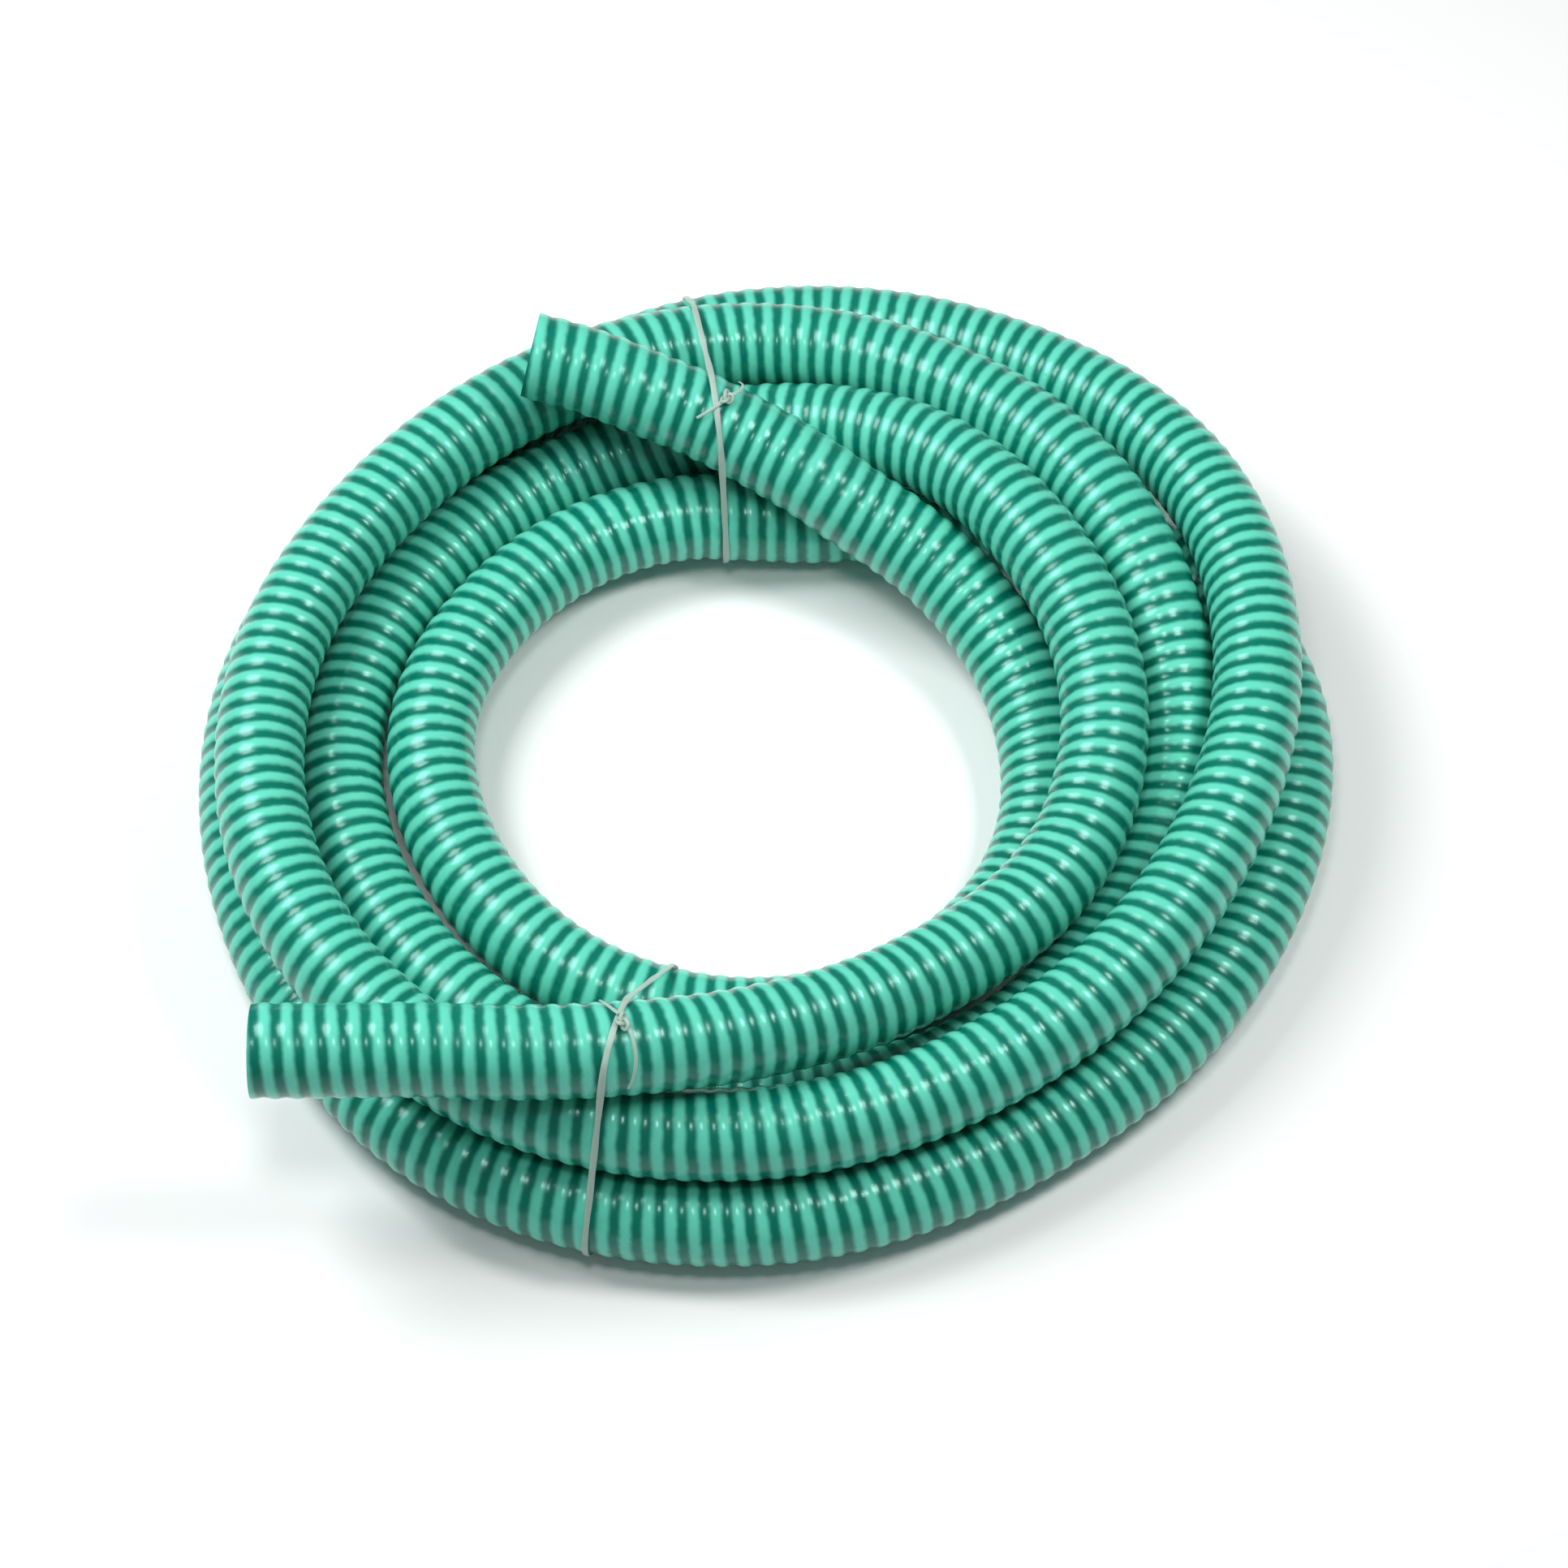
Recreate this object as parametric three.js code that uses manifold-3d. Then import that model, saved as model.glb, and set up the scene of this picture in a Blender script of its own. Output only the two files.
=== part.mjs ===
import * as THREE from "three";
import { mergeVertices } from "three/addons/utils/BufferGeometryUtils.js";
import Module from "manifold-3d";

const wasm = await Module();
wasm.setup();

// Delivery hose laid in a loose coil and held by two thin straps.
// Millimetres, +Z up. The origin lies on the floor under the middle of the coil's outline.

// Hose section
const HOSE_BORE = 32;
const HOSE_WALL = 3.2;
const HOSE_SIDES = 12;
const BORE_RADIUS = HOSE_BORE / 2;
const HOSE_RADIUS = BORE_RADIUS + HOSE_WALL;
const HOSE_DIAMETER = 2 * HOSE_RADIUS;

// Straps
const STRAP_WIDTH = 3;
const STRAP_THICKNESS = 0.8;
const STRAP_CLEARANCE = 0.35;
const KNOT_LENGTH = 9;
const KNOT_WIDTH = 6;
const KNOT_HEIGHT = 4;
const KNOT_SIDES = 12;
const FRONT_STRAP_AZIMUTH = 255;
const REAR_STRAP_AZIMUTH = 98;

// A strap's outline is worked out from rings round the strands near it. Reach and spacing are in
// degrees of azimuth.
const RING_SIDES = 24;
const RING_REACH = 12;
const RING_SPACING = 0.5;

// Points of one mesh that lie closer than this are one point.
const MERGE_DISTANCE = 1e-4;

// Route of the hose
const DEGREES_PER_STEP = 12;

// Each station is [azimuth, radius, lift]. The azimuth is in degrees about the middle of the coil and
// grows past 360 with every turn. Radius and lift are in hose diameters: a lift of 0 lies on the
// floor, and a lift of 1 lies on top of another strand.
const FRONT_END = [
  [226, 7.44, 2.08], [233, 6.68, 2.06], [240, 6.14, 2.02], [255, 5.40, 1.88],
  [270, 4.86, 1.60], [285, 4.48, 1.30], [300, 4.24, 1.08], [330, 4.08, 0.92],
];
const FIRST_TURN = [
  [360, 3.86, 1.10], [390, 3.64, 1.24], [420, 3.74, 1.04], [450, 3.89, 0.56],
  [480, 4.12, 0.10], [510, 4.35, 0.10], [540, 4.66, 0.04], [570, 4.78, 0.08],
  [600, 4.86, 0.08], [630, 4.88, 0.04], [660, 4.88, 0.00], [690, 4.82, 0.12],
];
const SECOND_TURN = [
  [720, 4.74, 0.52], [750, 4.68, 1.00], [780, 4.78, 0.92], [810, 4.93, 0.78],
  [840, 4.80, 0.98], [870, 4.94, 1.00], [900, 5.39, 1.02], [930, 5.77, 1.04],
  [960, 5.86, 0.96], [990, 5.68, 0.90], [1020, 5.44, 0.90], [1050, 5.42, 1.02],
];
const THIRD_TURN = [
  [1080, 5.60, 1.12], [1110, 5.82, 0.90], [1140, 5.79, 0.44], [1170, 5.71, 0.08],
  [1200, 5.38, 0.02], [1230, 5.41, 0.00], [1260, 5.72, 0.00], [1290, 6.00, 0.00],
  [1320, 6.32, 0.04], [1350, 6.24, 0.04], [1380, 6.00, 0.00], [1410, 6.02, 0.02],
];
const FOURTH_TURN = [
  [1440, 6.02, 0.02], [1455, 5.72, 0.00], [1470, 5.08, 0.00], [1485, 4.26, 0.00],
  [1500, 3.50, 0.00], [1515, 3.02, 0.04], [1530, 2.90, 0.10], [1545, 2.96, 0.18],
  [1560, 3.06, 0.20], [1590, 3.31, 0.20], [1620, 3.62, 0.20], [1650, 3.72, 0.14],
  [1680, 3.80, 0.06], [1710, 3.82, 0.02], [1740, 3.74, 0.00], [1770, 3.54, 0.02],
];
const REAR_END = [
  [1800, 3.18, 0.16], [1830, 2.86, 0.48], [1860, 2.68, 0.90], [1875, 2.76, 1.16],
  [1890, 3.06, 1.34], [1905, 3.52, 1.62], [1913, 3.87, 1.80], [1924, 4.58, 2.02],
];
const STATIONS = [
  ...FRONT_END, ...FIRST_TURN, ...SECOND_TURN, ...THIRD_TURN, ...FOURTH_TURN, ...REAR_END,
];
const START_AZIMUTH = STATIONS[0][0];
const END_AZIMUTH = STATIONS[STATIONS.length - 1][0];
const HOSE_STEPS = Math.round((END_AZIMUTH - START_AZIMUTH) / DEGREES_PER_STEP);

// Colours
const HOSE_COLOUR = 0x3fae8e;
const STRAP_COLOUR = 0xc9d9cf;

// Mean slope of one station column (1 is the radius, 2 is the lift) between two stations, per degree
// of azimuth.
function meanSlope(first, second, column) {
  const start = STATIONS[first];
  const end = STATIONS[second];
  return (end[column] - start[column]) / (end[0] - start[0]);
}

// Slope of one station column at a station. At the two ends it carries on the bend before it.
function stationSlope(index, column) {
  const last = STATIONS.length - 1;
  if (index === 0) {
    return 2 * meanSlope(0, 1, column) - meanSlope(0, 2, column);
  }
  if (index === last) {
    return 2 * meanSlope(last - 1, last, column) - meanSlope(last - 2, last, column);
  }
  return meanSlope(index - 1, index + 1, column);
}

// Smooth value of one station column at any azimuth, a cubic through the stations.
function stationValue(azimuth, column) {
  let index = 0;
  while (index < STATIONS.length - 2 && azimuth >= STATIONS[index + 1][0]) {
    index += 1;
  }
  const start = STATIONS[index];
  const end = STATIONS[index + 1];
  const span = end[0] - start[0];
  const t = (azimuth - start[0]) / span;
  const startSlope = stationSlope(index, column) * span;
  const endSlope = stationSlope(index + 1, column) * span;
  const change = end[column] - start[column];
  return start[column] + startSlope * t + (3 * change - 2 * startSlope - endSlope) * t ** 2
    + (startSlope + endSlope - 2 * change) * t ** 3;
}

// Centre line of the hose. Its steps are even in azimuth, so that the facets of neighbouring turns
// line up.
class HoseRoute extends THREE.Curve {
  getPoint(t, target = new THREE.Vector3()) {
    const azimuth = THREE.MathUtils.lerp(START_AZIMUTH, END_AZIMUTH, t);
    const angle = THREE.MathUtils.degToRad(azimuth);
    const radius = stationValue(azimuth, 1) * HOSE_DIAMETER;
    const height = stationValue(azimuth, 2) * HOSE_DIAMETER + HOSE_RADIUS;
    return target.set(radius * Math.cos(angle), radius * Math.sin(angle), height);
  }

  getUtoTmapping(u) {
    return u;
  }
}

// Closed loop of a regular polygon, for the hose's outside or its bore.
function polygonPoints(radius, sides) {
  const points = [];
  for (let side = 0; side < sides; side += 1) {
    const angle = (2 * Math.PI * side) / sides;
    points.push(new THREE.Vector2(radius * Math.cos(angle), radius * Math.sin(angle)));
  }
  return points;
}

// The hose: one tube swept along the route, open at both plain-cut ends.
function hoseGeometry(route) {
  const section = new THREE.Shape(polygonPoints(HOSE_RADIUS, HOSE_SIDES));
  section.holes.push(new THREE.Path(polygonPoints(BORE_RADIUS, HOSE_SIDES)));
  return new THREE.ExtrudeGeometry(section, {
    steps: HOSE_STEPS,
    extrudePath: route,
    bevelEnabled: false,
  });
}

// Smallest convex outline round a set of points, anticlockwise.
function convexOutline(points) {
  const sorted = [...points].sort((a, b) => a.x - b.x || a.y - b.y);
  const half = (ordered) => {
    const chain = [];
    for (const point of ordered) {
      while (chain.length > 1) {
        const last = chain[chain.length - 1];
        const previous = chain[chain.length - 2];
        const turn = last.clone().sub(previous).cross(point.clone().sub(last));
        if (turn > 1e-6) {
          break;
        }
        chain.pop();
      }
      chain.push(point);
    }
    return chain.slice(0, -1);
  };
  return [...half(sorted), ...half([...sorted].reverse())];
}

// Points of a circle round the hose at one azimuth, square to it. The hose runs straight from step
// to step, so the circle's middle lies on the chord between two steps.
function ringPoints(route, azimuth, radius) {
  const position = ((azimuth - START_AZIMUTH) / (END_AZIMUTH - START_AZIMUTH)) * HOSE_STEPS;
  const step = Math.min(Math.floor(position), HOSE_STEPS - 1);
  const start = route.getPoint(step / HOSE_STEPS);
  const end = route.getPoint((step + 1) / HOSE_STEPS);
  const centre = new THREE.Vector3().lerpVectors(start, end, position - step);
  const along = end.sub(start).normalize();
  const sideways = new THREE.Vector3(along.y, -along.x, 0).normalize();
  const upwards = new THREE.Vector3().crossVectors(sideways, along);
  return polygonPoints(radius, RING_SIDES).map((point) => centre.clone()
    .addScaledVector(sideways, point.x)
    .addScaledVector(upwards, point.y));
}

// Outline that a strap takes in the upright plane through the coil's middle at its azimuth: round
// every strand that crosses the plane, and clear of the hose's surface by the given distance.
// X runs outwards from the coil's middle and Y is up.
function strapOutline(route, azimuth, distance) {
  const angle = THREE.MathUtils.degToRad(azimuth);
  const outward = new THREE.Vector3(Math.cos(angle), Math.sin(angle), 0);
  const across = new THREE.Vector3(Math.sin(angle), -Math.cos(angle), 0);
  const points = [];
  for (let turn = azimuth; turn < END_AZIMUTH; turn += 360) {
    const first = Math.max(turn - RING_REACH, START_AZIMUTH);
    const last = Math.min(turn + RING_REACH, END_AZIMUTH);
    for (let sample = first; sample <= last; sample += RING_SPACING) {
      for (const point of ringPoints(route, sample, HOSE_RADIUS + distance)) {
        if (Math.abs(point.dot(across)) < STRAP_WIDTH) {
          points.push(new THREE.Vector2(point.dot(outward), point.z));
        }
      }
    }
  }
  return convexOutline(points);
}

// Turns a geometry into a solid that can be joined to another.
function toSolid(geometry) {
  const bare = geometry.clone();
  bare.deleteAttribute("normal");
  bare.deleteAttribute("uv");
  const merged = mergeVertices(bare, MERGE_DISTANCE);
  const mesh = new wasm.Mesh({
    numProp: 3,
    vertProperties: merged.attributes.position.array,
    triVerts: Uint32Array.from(merged.index.array),
  });
  return new wasm.Manifold(mesh);
}

// Turns a solid back into a geometry.
function toGeometry(solid) {
  const mesh = solid.getMesh();
  const geometry = new THREE.BufferGeometry();
  geometry.setAttribute("position", new THREE.BufferAttribute(mesh.vertProperties, 3));
  geometry.setIndex(new THREE.BufferAttribute(mesh.triVerts, 1));
  geometry.computeVertexNormals();
  return geometry;
}

// A strap: a flat band round the strands, with its knot on the highest strand.
function strapGeometry(route, azimuth) {
  const outside = strapOutline(route, azimuth, STRAP_CLEARANCE + STRAP_THICKNESS);
  const inside = strapOutline(route, azimuth, STRAP_CLEARANCE);
  const section = new THREE.Shape(outside);
  section.holes.push(new THREE.Path(inside));
  const band = new THREE.ExtrudeGeometry(section, { depth: STRAP_WIDTH, bevelEnabled: false });
  band.translate(0, 0, -STRAP_WIDTH / 2);

  const crown = outside.reduce((highest, point) => (point.y > highest.y ? point : highest));
  const knot = new THREE.SphereGeometry(0.5, KNOT_SIDES, KNOT_SIDES / 2);
  knot.scale(KNOT_LENGTH, KNOT_HEIGHT, KNOT_WIDTH);
  knot.translate(crown.x, crown.y + (KNOT_HEIGHT - STRAP_THICKNESS) / 2, 0);
  return toGeometry(toSolid(band).add(toSolid(knot)));
}

// Stands a strap in its upright plane through the coil's middle.
function placeStrap(mesh, azimuth) {
  mesh.rotation.set(Math.PI / 2, THREE.MathUtils.degToRad(azimuth), 0, "ZXY");
  return mesh;
}

const route = new HoseRoute();
const footprint = new THREE.Box3().setFromPoints(route.getSpacedPoints(HOSE_STEPS));
const middle = footprint.getCenter(new THREE.Vector3());

const hoseMaterial = new THREE.MeshStandardMaterial({
  color: HOSE_COLOUR,
  roughness: 0.35,
  metalness: 0,
});
const strapMaterial = new THREE.MeshStandardMaterial({
  color: STRAP_COLOUR,
  roughness: 0.45,
  metalness: 0,
});

const hose = new THREE.Mesh(hoseGeometry(route), hoseMaterial);
hose.name = "hose";

const frontStrap = new THREE.Mesh(strapGeometry(route, FRONT_STRAP_AZIMUTH), strapMaterial);
frontStrap.name = "front_strap";
placeStrap(frontStrap, FRONT_STRAP_AZIMUTH);

const rearStrap = new THREE.Mesh(strapGeometry(route, REAR_STRAP_AZIMUTH), strapMaterial);
rearStrap.name = "rear_strap";
placeStrap(rearStrap, REAR_STRAP_AZIMUTH);

// The coil's middle is moved so that the outline of the whole hose is centred on the origin.
const coil = new THREE.Group();
coil.position.set(-middle.x, -middle.y, 0);
coil.add(hose, frontStrap, rearStrap);

const deliveryHose = new THREE.Group();
deliveryHose.add(coil);

export default deliveryHose;
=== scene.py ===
"""Delivery hose in a loose coil, held by two thin straps and lying on a plain pale floor.

The file is laid out as a Blender add-on. Each piece is made by its own operator, and the sizes and
colours that a user would change are in the property groups. All lengths are in metres.
"""

import math

import bpy
from mathutils import Matrix, Vector
from mathutils.geometry import convex_hull_2d


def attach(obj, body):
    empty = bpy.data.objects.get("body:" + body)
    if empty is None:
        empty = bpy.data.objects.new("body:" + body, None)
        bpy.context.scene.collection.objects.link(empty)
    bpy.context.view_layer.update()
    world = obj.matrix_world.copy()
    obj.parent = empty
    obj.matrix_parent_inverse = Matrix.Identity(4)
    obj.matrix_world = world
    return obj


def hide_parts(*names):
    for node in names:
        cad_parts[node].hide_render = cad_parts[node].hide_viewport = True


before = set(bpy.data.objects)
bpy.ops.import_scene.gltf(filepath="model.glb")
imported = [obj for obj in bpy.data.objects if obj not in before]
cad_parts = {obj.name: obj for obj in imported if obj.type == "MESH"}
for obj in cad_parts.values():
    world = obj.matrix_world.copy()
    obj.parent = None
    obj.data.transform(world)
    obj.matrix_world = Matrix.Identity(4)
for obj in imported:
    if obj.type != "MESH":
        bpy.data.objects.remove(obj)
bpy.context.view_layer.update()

bl_info = {
    "name": "Delivery Hose",
    "version": (1, 0, 0),
    "blender": (4, 5, 0),
    "location": "3D View > Sidebar > Hose",
    "description": "Makes a coiled delivery hose with a spiral rib, its straps and the stage",
    "category": "Object",
}

# UV map of each piece. On the hose, U counts the turns of the rib along it, and V is the share of
# a turn round it. The attribute is 1 in the bore and 0 outside.
UV_NAME = "UVMap"
WALL_DEPTH = "wall_depth"

# Route of the hose. Each station is [azimuth, radius, lift]: degrees about the coil's middle, and
# hose diameters. A lift of 0 lies on the floor, and a lift of 1 lies on top of another strand.
FRONT_END = [
    [226, 7.44, 2.08], [233, 6.68, 2.06], [240, 6.14, 2.02], [255, 5.40, 1.88],
    [270, 4.86, 1.60], [285, 4.48, 1.30], [300, 4.24, 1.08], [330, 4.08, 0.92],
]
FIRST_TURN = [
    [360, 3.86, 1.10], [390, 3.64, 1.24], [420, 3.74, 1.04], [450, 3.89, 0.56],
    [480, 4.12, 0.10], [510, 4.35, 0.10], [540, 4.66, 0.04], [570, 4.78, 0.08],
    [600, 4.86, 0.08], [630, 4.88, 0.04], [660, 4.88, 0.00], [690, 4.82, 0.12],
]
SECOND_TURN = [
    [720, 4.74, 0.52], [750, 4.68, 1.00], [780, 4.78, 0.92], [810, 4.93, 0.78],
    [840, 4.80, 0.98], [870, 4.94, 1.00], [900, 5.39, 1.02], [930, 5.77, 1.04],
    [960, 5.86, 0.96], [990, 5.68, 0.90], [1020, 5.44, 0.90], [1050, 5.42, 1.02],
]
THIRD_TURN = [
    [1080, 5.60, 1.12], [1110, 5.82, 0.90], [1140, 5.79, 0.44], [1170, 5.71, 0.08],
    [1200, 5.38, 0.02], [1230, 5.41, 0.00], [1260, 5.72, 0.00], [1290, 6.00, 0.00],
    [1320, 6.32, 0.04], [1350, 6.24, 0.04], [1380, 6.00, 0.00], [1410, 6.02, 0.02],
]
FOURTH_TURN = [
    [1440, 6.02, 0.02], [1455, 5.72, 0.00], [1470, 5.08, 0.00], [1485, 4.26, 0.00],
    [1500, 3.50, 0.00], [1515, 3.02, 0.04], [1530, 2.90, 0.10], [1545, 2.96, 0.18],
    [1560, 3.06, 0.20], [1590, 3.31, 0.20], [1620, 3.62, 0.20], [1650, 3.72, 0.14],
    [1680, 3.80, 0.06], [1710, 3.82, 0.02], [1740, 3.74, 0.00], [1770, 3.54, 0.02],
]
REAR_END = [
    [1800, 3.18, 0.16], [1830, 2.86, 0.48], [1860, 2.68, 0.90], [1875, 2.76, 1.16],
    [1890, 3.06, 1.34], [1905, 3.52, 1.62], [1913, 3.87, 1.80], [1924, 4.58, 2.02],
]
STATIONS = FRONT_END + FIRST_TURN + SECOND_TURN + THIRD_TURN + FOURTH_TURN + REAR_END
START_AZIMUTH = STATIONS[0][0]
END_AZIMUTH = STATIONS[-1][0]

# The middle of the coil's outline, which the route is moved by, is taken from steps this far apart.
FOOTPRINT_STEPS = round((END_AZIMUTH - START_AZIMUTH) / 12)

# Degrees of azimuth between two points of the centre line that the hose is made on.
CENTRE_LINE_STEP = 2

# The straps: node, degrees of azimuth, and loose ends. A loose end has its turns from the top of
# the strand, in degrees, and its drift along the hose, in metres.
STRAPS = (
    (
        "front_strap",
        255,
        (((8, 82), (0.002, 0.0062, 0.0012)), ((-10, -44), (-0.001, -0.0045, -0.0065))),
    ),
    (
        "rear_strap",
        98,
        (((8, 58), (-0.002, -0.0065, -0.002)), ((-8, -40), (0.001, 0.004, 0.008))),
    ),
)

# A strap's outline is worked out from rings round the strands near it. Reach and spacing are in
# degrees of azimuth, and the slice is the width of hose that counts on each side of the strap.
RING_SIDES = 48
RING_REACH = 10
RING_SPACING = 0.5
RING_SLICE = 0.0025

# Mesh of the straps
STRIP_SIDES = 10
STRIP_SPACING = 0.002
KNOT_STEPS = 72
TAIL_STEPS = 24

# How much the band's width varies, and its two waves, in radians from one point to the next
BAND_PULL = 0.16
BAND_WAVES = (0.37, 0.11)

# The knot's curve as shares of its length, width and height, and its folded film as shares of the
# strap's width and thickness
KNOT_SPREAD = 0.42
KNOT_WEAVE = 0.3
KNOT_FILM_WIDTH = 0.62
KNOT_FILM_THICKNESS = 1.5

# A loose end's lift as a share of the film's thickness, and its widths as shares of the strap's
TAIL_LIFT = 1.1
TAIL_ROOT_WIDTH = 0.7
TAIL_NARROWING = 0.25

# Mesh points of the hose this close together are one point.
WELD_DISTANCE = 1e-5
# Edges of the hose that bend by more than this stay sharp, which is only its two cut ends.
SHARP_ANGLE = math.radians(50)


# Lights: name, place, width and colour. They all look at the target.
LIGHTS = (
    ("stage_key", (-0.8, 0.35, 1.25), 0.7, (0.98, 1.0, 1.0)),
    ("stage_side", (0.6, 0.0, 1.05), 0.3, (1.0, 1.0, 0.98)),
    ("stage_front", (-0.1, -0.45, 1.6), 0.26, (1.0, 1.0, 1.0)),
)
LIGHT_TARGET = (0, 0, 0.05)
SKY_COLOUR = (0.97, 0.99, 1.0, 1)


# Route


def mean_slope(first, second, column):
    """Mean slope of one station column between two stations, per degree of azimuth."""
    start, end = STATIONS[first], STATIONS[second]
    return (end[column] - start[column]) / (end[0] - start[0])


def station_slope(index, column):
    """Slope of one station column at a station. At the two ends it carries on the nearest bend."""
    last = len(STATIONS) - 1
    if index == 0:
        return 2 * mean_slope(0, 1, column) - mean_slope(0, 2, column)
    if index == last:
        return 2 * mean_slope(last - 1, last, column) - mean_slope(last - 2, last, column)
    return mean_slope(index - 1, index + 1, column)


def station_value(azimuth, column):
    """Smooth value of one station column at any azimuth, a cubic through the stations."""
    index = 0
    while index < len(STATIONS) - 2 and azimuth >= STATIONS[index + 1][0]:
        index += 1
    start, end = STATIONS[index], STATIONS[index + 1]
    span = end[0] - start[0]
    t = (azimuth - start[0]) / span
    start_slope = station_slope(index, column) * span
    end_slope = station_slope(index + 1, column) * span
    change = end[column] - start[column]
    return (
        start[column]
        + start_slope * t
        + (3 * change - 2 * start_slope - end_slope) * t**2
        + (start_slope + end_slope - 2 * change) * t**3
    )


def coil_point(azimuth, diameter):
    """Point of the hose's centre line, measured from the coil's middle."""
    angle = math.radians(azimuth)
    radius = station_value(azimuth, 1) * diameter
    height = station_value(azimuth, 2) * diameter + diameter / 2
    return Vector((radius * math.cos(angle), radius * math.sin(angle), height))


def coil_middle(diameter):
    """Middle of the outline of the centre line, seen from above."""
    span = (END_AZIMUTH - START_AZIMUTH) / FOOTPRINT_STEPS
    points = [
        coil_point(START_AZIMUTH + span * step, diameter) for step in range(FOOTPRINT_STEPS + 1)
    ]
    xs = [point.x for point in points]
    ys = [point.y for point in points]
    return Vector(((min(xs) + max(xs)) / 2, (min(ys) + max(ys)) / 2, 0))


def centre_line(diameter, step):
    """Points of the hose's centre line, a given number of degrees apart or a little less."""
    middle = coil_middle(diameter)
    count = math.ceil((END_AZIMUTH - START_AZIMUTH) / step)
    span = (END_AZIMUTH - START_AZIMUTH) / count
    return [
        coil_point(START_AZIMUTH + span * index, diameter) - middle for index in range(count + 1)
    ]


# Objects and node trees


def line_object(name, points):
    """Object whose mesh is a line through the points."""
    edges = [(index, index + 1) for index in range(len(points) - 1)]
    mesh = bpy.data.meshes.new(name)
    mesh.from_pydata(points, edges, [])
    line = bpy.data.objects.new(name, mesh)
    bpy.context.collection.objects.link(line)
    return line


def remove_object(name):
    """Removes an object that an earlier run of the same operator left."""
    old = bpy.data.objects.get(name)
    if old is not None:
        bpy.data.objects.remove(old, do_unlink=True)


class TreeBuilder:
    """Adds nodes to a node tree and joins them up."""

    def __init__(self, tree):
        self.tree = tree

    def node(self, kind, inputs=None, **settings):
        """Adds a node, sets its properties, then sets or joins its inputs."""
        node = self.tree.nodes.new(kind)
        for name, value in settings.items():
            setattr(node, name, value)
        for key, value in (inputs or {}).items():
            self.feed(node.inputs[key], value)
        return node

    def feed(self, socket, value):
        """Joins an output socket to an input socket, or sets the input to a plain value."""
        if isinstance(value, bpy.types.NodeSocket):
            self.tree.links.new(value, socket)
        else:
            socket.default_value = value

    def math(self, operation, *values, clamp=False):
        """Result of a math node."""
        node = self.node("ShaderNodeMath", operation=operation, use_clamp=clamp)
        for index, value in enumerate(values):
            self.feed(node.inputs[index], value)
        return node.outputs[0]

    def vector_math(self, operation, *values):
        """Vector result of a vector math node. A plain number sets the scale."""
        node = self.node("ShaderNodeVectorMath", operation=operation)
        for index, value in enumerate(values):
            key = "Scale" if operation == "SCALE" and index == 1 else index
            self.feed(node.inputs[key], value)
        return node.outputs[0]

    def noise(self, vector, scale, detail, roughness=0.5):
        """Value of a noise texture, 0 to 1."""
        inputs = {"Vector": vector, "Scale": scale, "Detail": detail, "Roughness": roughness}
        return self.node("ShaderNodeTexNoise", inputs).outputs["Fac"]

    def blend_colour(self, factor, low, high):
        """Colour between two colours, each an RGB value or a socket."""
        inputs = {"Factor": factor}
        for key, colour in (("A", low), ("B", high)):
            plain = not isinstance(colour, bpy.types.NodeSocket)
            inputs[key] = (*colour, 1) if plain else colour
        return self.node("ShaderNodeMix", inputs, data_type="RGBA").outputs["Result"]

    def blend(self, factor, low, high):
        """Number between low and high."""
        node = self.node("ShaderNodeMix", data_type="FLOAT")
        for key, value in ((0, factor), (2, low), (3, high)):
            self.feed(node.inputs[key], value)
        return node.outputs[0]


def new_material(name):
    """Material with an empty node tree, and the builder for that tree."""
    material = bpy.data.materials.new(name)
    material.use_nodes = True
    material.node_tree.nodes.clear()
    return material, TreeBuilder(material.node_tree)


def finish_material(make, inputs):
    """Ends a material in a Principled shader with the given inputs."""
    shader = make.node("ShaderNodeBsdfPrincipled", inputs)
    make.node("ShaderNodeOutputMaterial", {"Surface": shader.outputs["BSDF"]})


def new_geometry_tree(name, inputs):
    """Geometry node tree with a geometry in and out and the given named inputs."""
    tree = bpy.data.node_groups.new(name, "GeometryNodeTree")
    tree.is_modifier = True
    tree.interface.new_socket("Geometry", in_out="INPUT", socket_type="NodeSocketGeometry")
    for label, kind in inputs:
        tree.interface.new_socket(label, in_out="INPUT", socket_type=kind)
    tree.interface.new_socket("Geometry", in_out="OUTPUT", socket_type="NodeSocketGeometry")
    return tree


def apply_tree(piece, tree, values):
    """Runs a tree on an object with the given input values and keeps the result as its mesh."""
    modifier = piece.modifiers.new(tree.name, "NODES")
    modifier.node_group = tree
    for item in tree.interface.items_tree:
        if item.in_out == "INPUT" and item.name in values:
            modifier[item.identifier] = values[item.name]
    depsgraph = bpy.context.evaluated_depsgraph_get()
    mesh = bpy.data.meshes.new_from_object(piece.evaluated_get(depsgraph))
    piece.modifiers.remove(modifier)
    line = piece.data
    piece.data = mesh
    mesh.name = piece.name
    bpy.data.meshes.remove(line)


# Hose


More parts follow.
